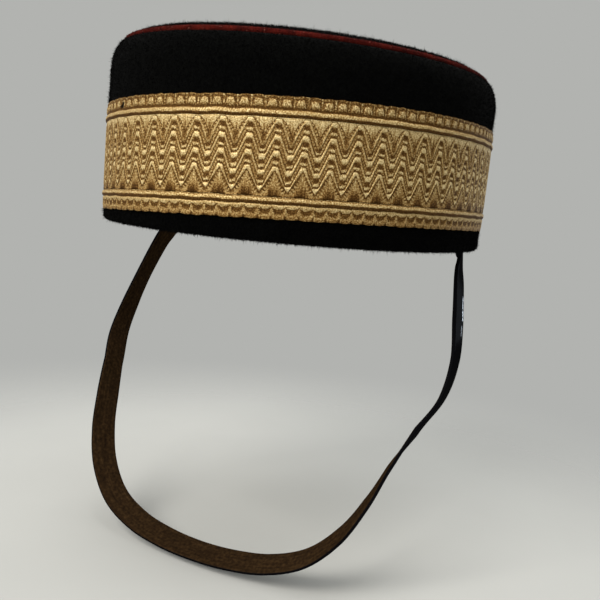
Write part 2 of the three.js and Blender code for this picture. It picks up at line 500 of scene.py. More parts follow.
def redFinish():
    # cord covered in red cloth, with a fine slanted weave and paler worn fibres
    finish = Finish("redCloth")
    around, along = finish.onMap("weave")
    place = finish.place()
    blotches = finish.noise(place, piping["blotchScale"], 3.0)
    fibres = finish.noise(place, piping["fibreScale"], 2.0)
    twill = (along / piping["twillSpacing"] + around * piping["twillSlant"]).swing()
    colour = finish.tints(blotches * 0.5 + fibres * 0.3 + twill * 0.2, piping["stops"])
    flecks = finish.noise(place, piping["fleckScale"], 2.0).step(0.66, 0.74) * piping["fleckShare"]
    return finish.surface(
        **{
            "Base Color": finish.mixed(flecks, colour, tint(*piping["fleck"])),
            "Roughness": 0.88,
            "Specular IOR Level": 0.04,
            "Normal": finish.bump(twill * 0.6 + fibres * 0.4, piping["bumpDepth"], 0.6),
        }
    )


turns = np.linspace(0, fullTurn, piping["columns"] + 1)
sides = np.linspace(0, fullTurn, piping["sides"] + 1)
pipingMap = np.stack(np.meshgrid(sides / fullTurn, turns * crownRadius, indexing="ij"), -1)
pipingGrid = pipingPoints(turns[None, :-1], sides[:-1, None])
pipingPiece = gridPiece("redPiping", pipingGrid, {"weave": pipingMap})
redMaterial = redFinish()
rideAs(pipingPiece, redMaterial, "red_piping", "crown_piping")
print("piping made")


# Gold lace

lace = {
    "width": 45.9,
    "bottom": 6.2,  # lower edge above the rim, midway along the side
    "tiltLeft": 4.1,  # rise at the wearer's left, with as much fall at the right
    "tiltFront": 1.8,
    "thickness": 0.8,
    "sway": 0.12,  # it wanders this far up and down
    "face": -0.2,  # ground of the weave, from the band's outer face
    "repeats": 57,  # zigzags round the cap
    "phase": 0.144,  # repeats from the camera's side of the cap to the nearest peak
    "phaseTurn": math.radians(31.2),
    "stretch": 0.055,  # the weave runs ahead by this much of a repeat and lags again
    "stretches": 4,
    "stretchMost": 1.5,
    "ribbonRelief": 0.24,
    "thinRelief": 0.16,
    "satinRelief": 0.14,
    "combRelief": 0.12,
    "fieldTop": 8.2,  # the zigzag field runs between these depths below the band's top edge
    "fieldBottom": 37.9,
    "satinMargins": {"top": 0.1, "first": 0.12, "last": 0.15, "bottom": 0.2},  # least, to its neighbours
    "levelFade": (0.095, 0.135),  # shares of a repeat over which a level stretch turns into a flank
    "ribbonHalf": 0.2,  # in lanes, as are the next two
    "threadLane": 0.784,
    "threadHalf": 0.12,
    "flankThread": 0.4,  # the thin thread's relief on the flanks, as a share
    "satinLanes": (-1.1, 4.5),  # the satin swells to these lanes
    "satinHalf": 0.5,
    "ribMiddle": 6.7,
    "ribHalf": 1.3,
    "ribRelief": 0.75,
    "budRelief": 0.4,
    "budPhase": 0.058,  # two buds a repeat, and this share of a bud ahead in the upper border
    "borderGround": -0.08,
    "edgeRelief": 0.12,
    "scallop": 0.12,
    "topInset": 0.25,  # where the loops start, from the band's own edge inwards
    "lowInset": -0.3,
    "overhang": 0.2,  # the lower border's loops hang this much lower
    "overlap": 0.02,
    "holePlace": 48.6,  # repeat at which a small worn hole lies in the upper border
    "holeDepth": 3.4,
    "holeLean": 0.08,  # repeats it shifts by for each millimetre down
    "holeWidth": 0.19,  # half its width, in repeats
    "holeHeight": 1.4,  # half its height
    "holeRelief": 0.4,
}
# Edges of the four bright ribbons, going down: depth below the band's top edge at the peaks and at the
# valleys, and the share of a repeat that the edge stays level at each
ribbonEdges = [
    (8.5, 17.3, 0.19, 0.0),
    (10.7, 18.7, 0.21, 0.12),
    (14.6, 21.9, 0.21, 0.21),
    (16.8, 24.1, 0.21, 0.21),
    (20.6, 27.9, 0.21, 0.21),
    (22.8, 30.0, 0.21, 0.21),
    (26.5, 34.0, 0.19, 0.21),
    (27.8, 36.1, 0.0, 0.02),
]
# Edges of the plain satin above and below the zigzag: share of a repeat from a peak, and depth
upperSatinEdge = np.array(
    [[0.1, 8.6], [0.155, 9.1], [0.256, 10.0], [0.325, 11.0], [0.38, 12.0], [0.435, 13.0], [0.5, 14.6]]
)
lowerSatinEdge = np.array([[0.0, 29.2], [0.27, 37.4]])
# Shares of a repeat, from a peak to the next valley, at which the mesh has a column: level, flank, level
columnShares = np.concatenate(
    [np.linspace(0, 0.105, 3), np.linspace(0.105, 0.395, 8)[1:], np.linspace(0.395, 0.5, 4)[1:]]
)


def zigzag(repeat, peak, valley, levelPeak, levelValley):
    # a triangle wave from peak (at whole repeats) to valley, cut level at both
    share = np.abs((repeat + 0.5) % 1 - 0.5)
    start, end = levelPeak / 2, 0.5 - levelValley / 2
    return peak + (valley - peak) * np.clip((share - start) / (end - start), 0, 1)


def turnOfRepeat():
    # the oval's arc length as a share of the whole, turned about, gives each repeat's turn
    turn = np.linspace(0, fullTurn, 4001)
    points = ovalPoints(turn, 0.0, lace["bottom"] + lace["width"] / 2 + 0 * turn)
    arcs = runningLength(points)
    repeats = arcs / arcs[-1] * lace["repeats"]
    shift = np.interp(lace["phaseTurn"], turn, repeats) + lace["phase"]

    def at(repeat):
        wave = np.cos(fullTurn * lace["stretches"] * (repeat - lace["stretchMost"]) / lace["repeats"])
        place = repeat + lace["stretch"] * wave + shift
        whole = np.floor(place / lace["repeats"])
        return np.interp(place - whole * lace["repeats"], repeats, turn) + fullTurn * whole

    return at


repeatTurn = turnOfRepeat()


def laceTilt(turn):  # the band climbs by tiltLeft sin(turn) + tiltFront cos(turn)
    return lace["tiltLeft"] * np.sin(turn) + lace["tiltFront"] * np.cos(turn)


def lacePoints(repeat, offset, depth):  # the oval's point at depth below the tilted, swaying top edge
    turn = repeatTurn(repeat)
    climb = laceTilt(turn) + lace["sway"] * ripple(turn * 4, 0, 17)
    return ovalPoints(turn, offset, lace["bottom"] + lace["width"] - depth + climb)


def repeatColumns():  # places along the band, in repeats, one more than the ring holds
    half = np.concatenate([columnShares[:-1], 1 - columnShares[:0:-1]])
    return np.append((np.arange(lace["repeats"])[:, None] + half).ravel(), lace["repeats"])


def closedBand(name, repeats, lanes, depths, heights):
    # front rows from the top down, then two rows of the plain back; heights stand on the ground
    across = np.broadcast_to(repeats, depths.shape)
    front = lacePoints(across, lace["face"] + heights, depths)
    back = lacePoints(across[[-1, 0]], -lace["thickness"], depths[[-1, 0]])
    weave = np.stack([across, depths], -1)
    chevron = np.stack([across, np.broadcast_to(lanes, depths.shape)], -1)
    maps = {}
    for key, value in (("weave", weave), ("lanes", chevron)):
        maps[key] = np.concatenate([value, value[[-1, 0]], value[:1]])
    return gridPiece(name, np.concatenate([front, back])[:, :-1], maps)


def laceField():
    # Lane 0 to 0.4 is the first ribbon and 0.4 to 1 the gap below it with its thin thread, and so on for
    # the next ribbons. Lanes -0.6 to 0 and 3.4 to 4 are the combs, and beyond them lies plain satin.
    repeats = repeatColumns()[None, :]
    edges = [zigzag(repeats, *edge) for edge in ribbonEdges]
    peakShare = np.abs((repeats + 0.5) % 1 - 0.5)
    margins = lace["satinMargins"]
    satinTop = np.interp(peakShare, *upperSatinEdge.T)
    satinTop = np.clip(satinTop, lace["fieldTop"] + margins["top"], edges[0] - margins["first"])
    satinBottom = np.maximum(np.interp(peakShare, *lowerSatinEdge.T), edges[-1] + margins["last"])
    satinBottom = np.minimum(satinBottom, lace["fieldBottom"] - margins["bottom"])
    knots = [-1.6, -0.6, 0.0, 0.4, 1.0, 1.4, 2.0, 2.4, 3.0, 3.4, 4.0, 5.0]
    top = np.full_like(repeats, lace["fieldTop"])
    bottom = np.full_like(repeats, lace["fieldBottom"])
    lines = np.vstack([top, satinTop, *edges, satinBottom, bottom])
    ribbonRows = [0, 0.06, 0.2, 0.34]
    gapRows = [0.4, 0.46, 0.6, 0.72, 0.784, 0.85, 0.94]
    lanes = [-1.6, -1.4, -1.1, -0.8, -0.6, -0.4, -0.2]
    for lane in range(3):
        lanes += [lane + share for share in ribbonRows + gapRows]
    lanes += [3 + share for share in ribbonRows] + [3.4, 3.6, 3.8, 4.0, 4.2, 4.5, 4.8, 5.0]
    lanes = np.array(lanes)
    below = np.clip(np.searchsorted(knots, lanes, side="right") - 1, 0, len(knots) - 2)
    share = ((lanes - np.take(knots, below)) / np.diff(knots)[below])[:, None]
    depths = lines[below] * (1 - share) + lines[below + 1] * share

    lane = lanes[:, None]
    level = 1 - ease(np.abs((2 * repeats + 0.5) % 1 - 0.5) / 2, *lace["levelFade"])
    inRibbons = (lane >= 0) & (lane <= 3.4)
    part = lane % 1
    rounded = np.sqrt(np.clip(1 - (part / lace["ribbonHalf"] - 1) ** 2, 0, 1))
    thin = np.clip(1 - np.abs(part - lace["threadLane"]) / lace["threadHalf"], 0, 1)
    thin = thin * (level * (1 - lace["flankThread"]) + lace["flankThread"])
    heights = np.where(inRibbons, lace["ribbonRelief"] * rounded + lace["thinRelief"] * thin, 0)
    comb = ((lane > -0.6) & (lane < 0)) | ((lane > 3.4) & (lane < 4))
    heights = np.where(comb, lace["combRelief"], heights)
    swells = [np.clip(1 - np.abs(lane - middle) / lace["satinHalf"], 0, 1) for middle in lace["satinLanes"]]
    heights = heights + lace["satinRelief"] * sum(swells)
    return closedBand("goldLaceField", repeats, lane, depths, heights)


def budShift(lower):  # buds of the upper border run ahead of the zigzag
    return 0.0 if lower else lace["budPhase"]


def holeSpread(repeats, depth):
    # (aside / width)^2 + (below / height)^2, which is 0 in the worn hole's middle and 1 at its edge
    below = depth - lace["holeDepth"]
    aside = repeats - lace["holePlace"] + below * lace["holeLean"]
    return aside * aside * (1 / lace["holeWidth"] ** 2) + below * below * (1 / lace["holeHeight"] ** 2)


def laceBorder(name, lower):
    # Depth runs from the band's own edge inwards: a scalloped edge of loops, a row of buds, or of spear
    # shapes in the lower border, and a raised rib between two grooves.
    repeats = repeatColumns()[None, :]
    inset = lace["lowInset"] if lower else lace["topInset"]
    lowReach = lace["width"] + lace["overhang"] - lace["fieldBottom"]
    reach = lowReach if lower else lace["fieldTop"]
    rows = [0.5, 0.8, 1.1, 1.5, 2.0, 2.6, 3.2, 3.8, 4.4, 4.8, 5.15, 5.4, 5.7, 6.2, 6.7, 7.2, 7.7, 8.0]
    inward = np.array([inset, (inset + rows[0]) / 2, *rows, reach + lace["overlap"]])[:, None]
    cell = (2 * repeats + budShift(lower)) % 1 - 0.5  # from one side of a bud to the other
    scallop = lace["scallop"] * np.cos(fullTurn * cell) * (1 - ease(inward, inset, 1.3))
    if lower:
        spear = (1 - ease(0.5 - np.abs(cell), 0.04, 0.14)) * ease(inward, 0.6, 1.6)
        hanging = ease(inward, 3.2 + 4 * cell**2, 4.3 + 4 * cell**2)  # arched between two spears
        bud = (0.6 * spear * (1 - hanging) + hanging) * (1 - ease(inward, 4.9, 5.3))
    else:
        spread = 0.16 + 0.065 * inward  # half a bud's width, in cells, which grows inwards
        bud = (1 - ease(np.abs(cell), spread * 0.7, spread * 1.1)) * ease(inward, 1.2, 2.0)
        bud = bud * (1 - ease(inward, 3.6, 4.9))
    loop = (1 - ease(np.abs(inward - 0.5), 0.1, 0.6)) * lace["edgeRelief"]
    fromRib = (inward - lace["ribMiddle"]) / lace["ribHalf"]
    rib = lace["ribRelief"] * np.sqrt(np.clip(1 - fromRib**2, 0, 1))
    heights = lace["budRelief"] * bud + loop + rib + lace["borderGround"]
    depths = inward - scallop
    if lower:
        depths = lace["width"] + lace["overhang"] - depths[::-1]
        heights = heights[::-1]
        inward = inward[::-1]
    else:
        heights = heights - lace["holeRelief"] * np.exp(-holeSpread(repeats, depths))
    return closedBand(name, repeats, inward, depths, heights)


gold = {
    "stops": [
        (0.0, (72, 46, 16)),
        (0.25, (112, 80, 38)),
        (0.5, (152, 120, 70)),
        (0.75, (190, 162, 109)),
        (1.0, (229, 206, 153)),
    ],
    "hole": (14, 9, 5),
    "threads": 30,  # fine upright threads in a repeat
    "bumpDepth": 0.00014,  # metres
}
# Noises that ride the weave: cells in a repeat along it and in a millimetre down, detail, and how far
# from its mean each is cut off
weaveNoises = {
    "ragged": (22, 2.2, 2.0, 0.22),
    "fieldWander": (6, 0.6, 1.0, 0.22),
    "borderWander": (5, 0.5, 1.0, 0.22),
    "streaks": (18, 0.12, 2.0, 0.22),
    "specks": (18, 1.7, 3.0, 0.14),
    "worn": (3, 0.25, 2.0, 0.22),
    "tufts": (15, 1.6, 2.0, 0.12),
}


def woven(finish, name, along, down):  # one of those noises, -0.5 to 0.5
    cellsAlong, cellsDown, detail, reach = weaveNoises[name]
    place = finish.joined(along * cellsAlong, down * cellsDown)
    return finish.noise(place, 1.0, detail).step(0.5 - reach, 0.5 + reach) - 0.5


def goldSurface(finish, tone, height, along, down, hole):
    # tone 0 to 1 picks the colour of the metal thread; the darker the thread, the duller it is, and in
    # the worn hole it is bare dark ground
    wrap = (along * gold["threads"]).swing()
    specks = woven(finish, "specks", along, down)
    shown = tone + specks * 0.42 + woven(finish, "worn", along, down) * 0.1 + (wrap - 0.5) * 0.05
    return finish.surface(
        **{
            "Base Color": finish.mixed(hole, finish.tints(shown, gold["stops"]), tint(*gold["hole"])),
            "Metallic": (tone * 0.3 + 0.1) * (1 - hole),
            "Roughness": 0.62 - tone * 0.2 + hole * 0.38,
            "Specular IOR Level": 0.06,
            "Normal": finish.bump(height + wrap * 0.2 + specks * 0.6, gold["bumpDepth"], 0.8),
        }
    )


# Tones of the metal thread across a ribbon (0 to 0.4) and the gap below it, where the zigzag lies level
# at its peaks and valleys, and on its flanks
levelTones = [
    (0.0, 0.56), (0.03, 0.92), (0.27, 0.9), (0.36, 0.56), (0.43, 0.1), (0.52, 0.0), (0.63, 0.03),
    (0.69, 0.5), (0.735, 0.85), (0.82, 0.8), (0.86, 0.3), (0.89, 0.04), (0.965, 0.06), (1.0, 0.56),
]
flankTones = [
    (0.0, 0.4), (0.05, 0.64), (0.2, 0.72), (0.33, 0.62), (0.4, 0.36), (0.44, 0.08), (0.48, 0.12),
    (0.54, 0.44), (0.8, 0.44), (0.86, 0.16), (0.91, 0.04), (0.955, 0.12), (1.0, 0.4),
]
# Where the tones of the zigzag field change. Depths are below the band's top edge, shares are of a
# repeat from a peak, lanes as in laceField. Pairs are the start and end of a change, and threes the
# middle, reach and fade of a stripe.
field = {
    "peakShares": (0.09, 0.116),
    "valleyShares": (0.384, 0.41),
    "ribbonsFrom": (-0.04, 0.02),
    "ribbonsTo": (3.36, 3.42),
    "firstRibbon": (0.36, 0.44),
    "firstCrest": (0.05, 0.05, 0.1),
    "gap": (0.68, 0.1, 0.05),
    "beadLength": 1.5,
    "beadSlant": 5,  # beads in a whole repeat's share, and the same for strokes
    "strokeLength": 1.6,
    "strokeSlant": 7.3 / 1.6,
    "strokeShares": (0.4, 0.45),
    "upperBarbs": (-0.3, -0.16),
    "lowerBarbs": (3.66, 3.8),
    "upperSatin": (-0.6, -0.53),
    "lowerSatin": (3.9, 4.1),
    "halfway": (2.0, 2.2),
    "shadeDepths": (8.8, 13.5),
    "slitShares": (0.485, 0.008, 0.015),
    "slitDepths": (10.2, 12.2),
    "footShares": (0.1, 0.36),
    "footDepths": (32.8, 36.8),
    "paleShares": (0.0, 0.012, 0.03),
    "paleDepths": (30.6, 32.4),
    "seamDepths": (36.9, 37.6),
}


def fieldFinish():
    # The share is 0 at the peaks and 0.5 at the valleys. Between the two lie flanks of ribbons and beaded
    # gaps; at the peaks and valleys the same tones lie level. Strokes run down and away from the peaks.
    finish = Finish("goldZigzag")
    along, down = finish.onMap("weave")
    ragged = woven(finish, "ragged", along, down)
    wander = woven(finish, "fieldWander", along, down)
    slope = along.swing() * 2 - 1
    lane = finish.onMap("lanes")[1] + ragged * 0.09 + wander * 0.04
    share = abs((along + 0.5).fraction() - 0.5)
    edge = share + ragged * 0.03
    valleys = edge.step(*field["valleyShares"])
    level = 1 - edge.step(*field["peakShares"]) + valleys
    part = (lane - slope * 0.04).fraction()
    beads = down / field["beadLength"] + share * field["beadSlant"] + ragged * 0.3
    beads = beads.swing().step(0.3, 0.75)
    inGap = part.near(*field["gap"])
    # the slope term paints one flank of each zigzag lighter and the other darker, as painted light falling
    # from one side
    flank = finish.curve(part, flankTones) + (beads - 0.5) * inGap * 0.28 - slope * 0.03
    zigzags = over(flank, level, finish.curve(part, levelTones))
    firstValley = valleys * (1 - lane.step(*field["firstRibbon"]))
    zigzags = over(zigzags, firstValley, 0.5 - lane.near(*field["firstCrest"]) * 0.3)
    inRibbons = lane.step(*field["ribbonsFrom"]) * (1 - lane.step(*field["ribbonsTo"]))

    strokes = down / field["strokeLength"] + share * field["strokeSlant"] + ragged * 0.2
    strokes = strokes.swing().step(0.25, 0.75) * (1 - share.step(*field["strokeShares"]))
    upperBarbs = (lane + strokes * 0.2).step(*field["upperBarbs"])
    upperComb = over(0.1 + strokes * 0.16, upperBarbs, 0.32 + strokes * 0.32)
    lowerBarbs = (lane + strokes * 0.16).step(*field["lowerBarbs"])
    lowerComb = over(0.06 + strokes * 0.16, lowerBarbs, 0.44 + strokes * 0.16)
    streaks = woven(finish, "streaks", along, down)
    shade = down.step(*field["shadeDepths"])
    slit = share.near(*field["slitShares"]) * down.step(*field["slitDepths"])
    upperSatin = 0.82 - shade * 0.32 + streaks * 0.375 - slit * 0.3
    foot = down.step(*field["footDepths"]) * (1 - share.step(*field["footShares"]))
    pale = share.near(*field["paleShares"]) * (1 - down.step(*field["paleDepths"]))
    seam = down.step(*field["seamDepths"])
    lowerSatin = 0.54 + streaks * 0.35 + pale * 0.24 - foot * 0.5 - seam * 0.2
    onUpper = 1 - (lane + strokes * 0.08).step(*field["upperSatin"])
    above = over(upperComb, onUpper, upperSatin)
    below = over(lowerComb, lane.step(*field["lowerSatin"]), lowerSatin)
    outside = over(above, lane.step(*field["halfway"]), below)
    tone = over(outside, inRibbons, zigzags)
    relief = beads * inGap * 0.6 + strokes * (1 - inRibbons) * 0.3
    return goldSurface(finish, tone, relief, along, down, 0.0)


def borderFinish(name, lower):
    # Every share below is a function of the cell, 0 at a bud's middle and 0.5 between buds, and of the
    # way inwards from the band's own edge, in millimetres. Each one then lays its tone over the last.
    finish = Finish(name)
    along, down = finish.onMap("weave")
    inward = finish.onMap("lanes")[1]
    ragged = woven(finish, "ragged", along, down)
    wander = woven(finish, "borderWander", along, down)
    ribInward = inward + ragged * 0.2 + wander * 0.2
    inward = inward + ragged * 0.4 + wander * 0.3
    signed = (along * 2 + budShift(lower)).fraction() - 0.5 + ragged * 0.09
    cell = abs(signed)
    aside = 0.5 - cell
    tufts = woven(finish, "tufts", along, inward) + 0.5
    if lower:
        spearHalf = 0.22 - inward * 0.045  # it tapers inwards
        spear = (1 - (aside - spearHalf).step(0.0, 0.03)) * inward.near(2.2, 1.7, 0.3)
        fork = (1 - aside.step(0.06, 0.12)) * (1 - inward.step(0.8, 1.3))  # dark notch in its foot
        budUnderShade = (inward - cell * cell * 6).step(1.4, 2.0)  # dark ground between two spears: painted shade under each bud
        hanging = (inward - cell * cell * 4).step(3.3, 3.7)  # pale arch that they hang from, painted lighter as the buds' upper sides lit from above
        tone = 0.3 + tufts * 0.2 + inward.near(1.15, 0.12, 0.15) * (0.4 - cell) * 0.6
        tone = over(over(tone, budUnderShade, 0.08), spear, 0.48 + tufts * 0.16)
        tone = over(tone, hanging, 0.7 + tufts * 0.08)
        tone = tone - fork * 0.45
        # painted shade on the rib's underside and in the groove below it, and a painted highlight on its
        # upper side
        grooveShade = ribInward.near(5.85, 0.42, 0.35)
        ribLitSide = ribInward.near(7.15, 0.4, 0.3)
        ribShadedTone = 0.24
    else:
        fan = 0.13 + inward * 0.062  # half a bud's width, in cells
        rays = (signed / fan * 2.4).swing()  # folds that fan out over a bud
        bud = (1 - (cell / fan).step(0.84, 1.05)) * (inward - cell * cell * 4).step(1.3, 1.8)
        bud = bud * (1 - inward.step(4.1, 4.7))
        filament = (1 - aside.step(0.03, 0.08)) * (1 - inward.step(3.4, 5.2))  # between two buds
        shadowOverBud = inward.near(1.25, 0.15, 0.25) * (1 - cell.step(0.26, 0.36))  # painted shadow line over a bud
        brow = inward.near(0.62, 0.1, 0.15)  # pale line along the loops
        tone = tufts * 0.26 + filament * (0.2 + tufts * 0.3)
        # the buds' folds, with their lower parts painted darker as painted shade
        petalsWithShade = 0.62 + tufts * 0.4 - rays * 0.26 - inward.step(3.0, 4.7) * 0.35
        tone = over(tone, bud, petalsWithShade)
        tone = tone * (1 - shadowOverBud * 0.7) + shadowOverBud * 0.1
        tone = tone + brow * (0.1 + tufts * 0.3)
        # painted shade in the grooves above and below the rib, and a painted highlight on its upper side
        grooveShade = ribInward.near(4.95, 0.22, 0.3) * (1 - filament * 0.4)
        grooveShade = grooveShade + ribInward.near(7.55, 0.35, 0.25)
        ribLitSide = ribInward.near(6.3, 0.55, 0.3)
        ribShadedTone = 0.3
    twist = (along * 9 + inward * 0.5).swing()
    rib = ribInward.near(6.7, 1.25, 0.1)
    # the rib takes a dim tone for its painted shaded side, the grooves painted shade, its upper side a
    # painted highlight
    tone = over(over(tone, rib, ribShadedTone), grooveShade, 0.03)
    tone = over(tone, ribLitSide, 0.7 + (twist - 0.5) * 0.14 + (tufts - 0.5) * 0.26)
    if lower:
        hole, relief = 0.0, tufts * (1 - rib) * 0.4
    else:
        hole = 1 - holeSpread(along, down + ragged * 0.5).step(0.6, 1.2)
        relief = rays * bud * 0.5
    return goldSurface(finish, tone, twist * rib * 0.4 + relief, along, down, hole)


rideAs(laceField(), fieldFinish(), "gold_lace", "gold_lace")
for place, lower in (("Top", False), ("Low", True)):
    border = laceBorder(f"goldLace{place}Border", lower)
    rideAs(border, borderFinish(f"gold{place}Border", lower), "gold_lace", "gold_lace")
print("gold lace made")


# Nap of the cloth

nap = {
    "thickness": 0.22,
    "shortest": 0.4,
    "longest": 1.2,
    "strays": 0.05,  # share of hairs that stand out
    "strayLength": 2.4,
    "spread": 0.55,  # directions are the normal, plus this much of a random one, less droop straight up
    "droop": 0.2,
    "leastRise": 0.25,
    "sunk": 0.05,
    "redHairs": 9000,
    "redScale": 0.5,  # of the lengths above
    "redFrom": -0.3,  # angle round the cord, up from its outermost line, at which its hairs start
}


def scattered(points, outline, count, seed):
    # random places on points(turn, across, up) along an outline, and the surface's normals there: the
    # cross product of its two small differences
    random = np.random.default_rng(seed)
    along = runningLength(outline)
    turn = random.uniform(0, fullTurn, count)
    place = random.uniform(0, along[-1], count)
    small = 0.02

    def at(turn, place):
        across, up = placed(place, along, outline).T
        return points(turn, across, up), up

    roots, up = at(turn, place)
    beside = at(turn + small / crownRadius, place)[0]
    above = at(turn, place + small)[0]
    return roots, unit(np.cross(beside - roots, above - roots)), random, turn, up


def napOn(name, roots, normals, random, finish, slot, scale=1.0):
    # no hair's direction has less than leastRise along the normal, and its foot is sunk a little
    count = len(roots)
    directions = normals + random.normal(size=(count, 3)) * nap["spread"] - np.array([0, 0, nap["droop"]])
    outward = np.einsum("ij,ij->i", directions, normals)
    directions += normals * np.clip(nap["leastRise"] - outward, 0, None)[:, None]
    lengths = random.uniform(nap["shortest"], nap["longest"], count)
    strays = random.uniform(size=count) < nap["strays"]
    lengths = np.where(strays, random.uniform(nap["longest"], nap["strayLength"], count), lengths) * scale
    feet = roots - normals * nap["sunk"]
    piece = hairPiece(name, feet, unit(directions), lengths, nap["thickness"], seed=3)
    return rideAs(piece, finish, slot)


def wallNap(name, low, high, count, seed):
    # the outside of the wall between two heights, apart from what the lace covers
    outside = evenly(wallOutside(), wall["spacing"])
    shown = outside[(outside[:, 1] > low) & (outside[:, 1] < high)]
    roots, normals, random, turn, up = scattered(wallPoints, shown, count * 2, seed)
    aboveLace = up - laceTilt(turn) - lace["bottom"]
    bare = np.flatnonzero((aboveLace < 0) | (aboveLace > lace["width"]))[:count]
    return napOn(name, roots[bare], normals[bare], random, woolMaterial, "black_wool")


def crownNap(name, inner, outer, count, seed):  # the top between two radii
    radius, height = crownOutline.T
    onTop = height > crownUnder + crown["edgeHeight"]
    shown = crownOutline[onTop & (radius > inner) & (radius < outer)]
    roots, normals, random = scattered(crownPoints, shown, count, seed)[:3]
    return napOn(name, roots, normals, random, woolMaterial, "black_wool")


def pipingNap():  # hairs on the cord's upper and outer side, along the circles' normals
    random = np.random.default_rng(41)
    turn = random.uniform(0, fullTurn, nap["redHairs"])
    side = random.uniform(nap["redFrom"], math.pi, nap["redHairs"])
    roots = pipingPoints(turn, side)
    normals = unit(roots - risen(ovalPoints(turn, pipingOffset, pipingLevel + 0 * turn)))
    return napOn("redPipingNap", roots, normals, random, redMaterial, "red_piping", nap["redScale"])


wallNap("woolRimNap", low=-1, high=12, count=40000, seed=21)
wallNap("woolShoulderNap", low=46, high=cap["height"], count=48000, seed=22)
crownNap("woolCrownEdgeNap", inner=crownRadius - 7, outer=crownRadius + 1, count=40000, seed=31)
crownNap("woolCrownNap", inner=0, outer=crownRadius - 5, count=20000, seed=32)
pipingNap()
print("nap made")


# Chin strap

strap = {
    "width": 12.0,
    "thickness": 1.6,
    "edgeRadius": 0.55,
    "drop": 145.0,  # rim to the lowest point
    "reach": 66.0,  # lowest point in front of the cap's middle
    "tuck": 26.0,  # how far each end runs up inside the wall
    "seatBack": 7.0,
    "seatTurn": -3,  # degrees that turn the ends flat against the curved wall
    "seatGap": 1.0,
    "steps": 420,
    "spanSteps": 60,  # points between two knots before the line is evened out
    "cornerSteps": 5,
    "faceColumns": 7,
}
tuckedShares = [1, 0.55, 0.08]
# Half of the hanging loop, from the rim down: shares of the ends' distance from the middle, of the reach
# and of the drop, and degrees that roll the strap about its own line
strapRows = np.array(
    [
        [1.002, -0.13, 0.014, -13],
        [1.01, -0.115, 0.05, -10],
        [1.033, -0.053, 0.1, -3],
        [1.08, 0.057, 0.215, 0],
        [1.115, 0.16, 0.331, -4],
        [1.103, 0.3, 0.439, -6],
        [1.028, 0.461, 0.535, -3],
        [0.956, 0.609, 0.633, -16],
        [0.889, 0.733, 0.74, -22],
        [0.791, 0.834, 0.844, -26],
        [0.639, 0.911, 0.929, -26],
        [0.438, 0.96, 0.976, -24],
        [0.221, 0.989, 0.995, -22],
        [0, 1, 1, -20],
    ]
)


def strapKnots():  # rows of x, y, z and turn from the wearer's left end to the right end
    seat = cap["width"] / 2 + wall["face"] - wall["thickness"] - strap["seatGap"] - strap["thickness"] / 2
    tucked = [
        [seat, strap["seatBack"], strap["tuck"] * share, strap["seatTurn"]] for share in tuckedShares
    ]
    hanging = strapRows * [seat, -strap["reach"], -strap["drop"], 1]
    half = np.vstack([tucked, hanging])
    return np.vstack([half, half[-2::-1] * [-1, 1, 1, 1]])


def strapLine():
    # centripetal Catmull-Rom through the knots: on each span the cubic with ends p1, p2 and end slopes
    # (p1-p0)/d0 - (p2-p0)/(d0+d1) + (p2-p1)/d1 and its mirror, times d1, where d = square root of the
    # distance between neighbouring knots. The points are then spread evenly.
    knots = strapKnots()
    points = knots[:, :3]
    padded = np.vstack([2 * points[0] - points[1], points, 2 * points[-1] - points[-2]])
    gaps = np.sqrt(np.linalg.norm(np.diff(padded, axis=0), axis=1))[:, None]
    p0, p1, p2, p3 = padded[:-3], padded[1:-2], padded[2:-1], padded[3:]
    d0, d1, d2 = gaps[:-2], gaps[1:-1], gaps[2:]
    first = ((p1 - p0) / d0 - (p2 - p0) / (d0 + d1) + (p2 - p1) / d1) * d1
    last = ((p2 - p1) / d1 - (p3 - p1) / (d1 + d2) + (p3 - p2) / d2) * d1
    share = np.linspace(0, 1, strap["spanSteps"], endpoint=False)[None, :, None]
    p1, p2, first, last = (value[:, None, :] for value in (p1, p2, first, last))
    cubic = p1 + first * share + (3 * (p2 - p1) - 2 * first - last) * share**2
    cubic = cubic + (2 * (p1 - p2) + first + last) * share**3
    line = np.vstack([cubic.reshape(-1, 3), points[-1]])
    turn = np.interp(np.linspace(0, len(knots) - 1, len(line)), np.arange(len(knots)), knots[:, 3])
    along = runningLength(line)
    even = np.linspace(0, along[-1], strap["steps"])
    return placed(even, along, line), np.radians(np.interp(even, along, turn)), even


def strapSection():  # a flat bar with round edges: across and out, and how far inside each point lies
    radius = strap["edgeRadius"]
    wide, thick = strap["width"] / 2 - radius, strap["thickness"] / 2 - radius
    corners = []
    for corner, (across, out) in enumerate(((1, 1), (-1, 1), (-1, -1), (1, -1))):
        start = 90 * corner
        middle = (across * wide, out * thick)
        corners.append(arc(*middle, radius, radius, start, start + 90, strap["cornerSteps"]))
    across = np.linspace(wide, -wide, strap["faceColumns"] + 2)[1:-1]
    top = np.stack([across, np.full(len(across), strap["thickness"] / 2)], 1)
    return np.vstack([corners[0], top, *corners[1:3], -top, corners[3]])


def strapPiece():
    # corner = line + across * width direction + out * outward, where the width direction is Y made
    # square to the line and turned about it, and outward is the line's direction times the width's
    middle, turn, along = strapLine()
    ahead = unit(np.gradient(middle, axis=0))
    width = unit(np.array([0, 1, 0]) - ahead * ahead[:, 1:2])
    width = width * np.cos(turn)[:, None] + np.cross(ahead, width) * np.sin(turn)[:, None]
    outward = np.cross(ahead, width)
    section = strapSection()
    grid = middle[:, None] + section[:, 0, None] * width[:, None] + section[:, 1, None] * outward[:, None]
    looped = np.vstack([section, section[:1]])
    faces = np.stack([looped[:, 1] / strap["thickness"] + 0.5, looped[:, 0]], 1)
    side = np.broadcast_to(faces[:, 0], (len(middle), len(looped)))
    alongMap = np.stack([np.broadcast_to(along[:, None], side.shape), side], -1)
    acrossMap = np.stack([np.broadcast_to(faces[:, 1], side.shape), side], -1)
    return gridPiece("leatherStrap", grid, {"along": alongMap, "across": acrossMap}, closed=False)


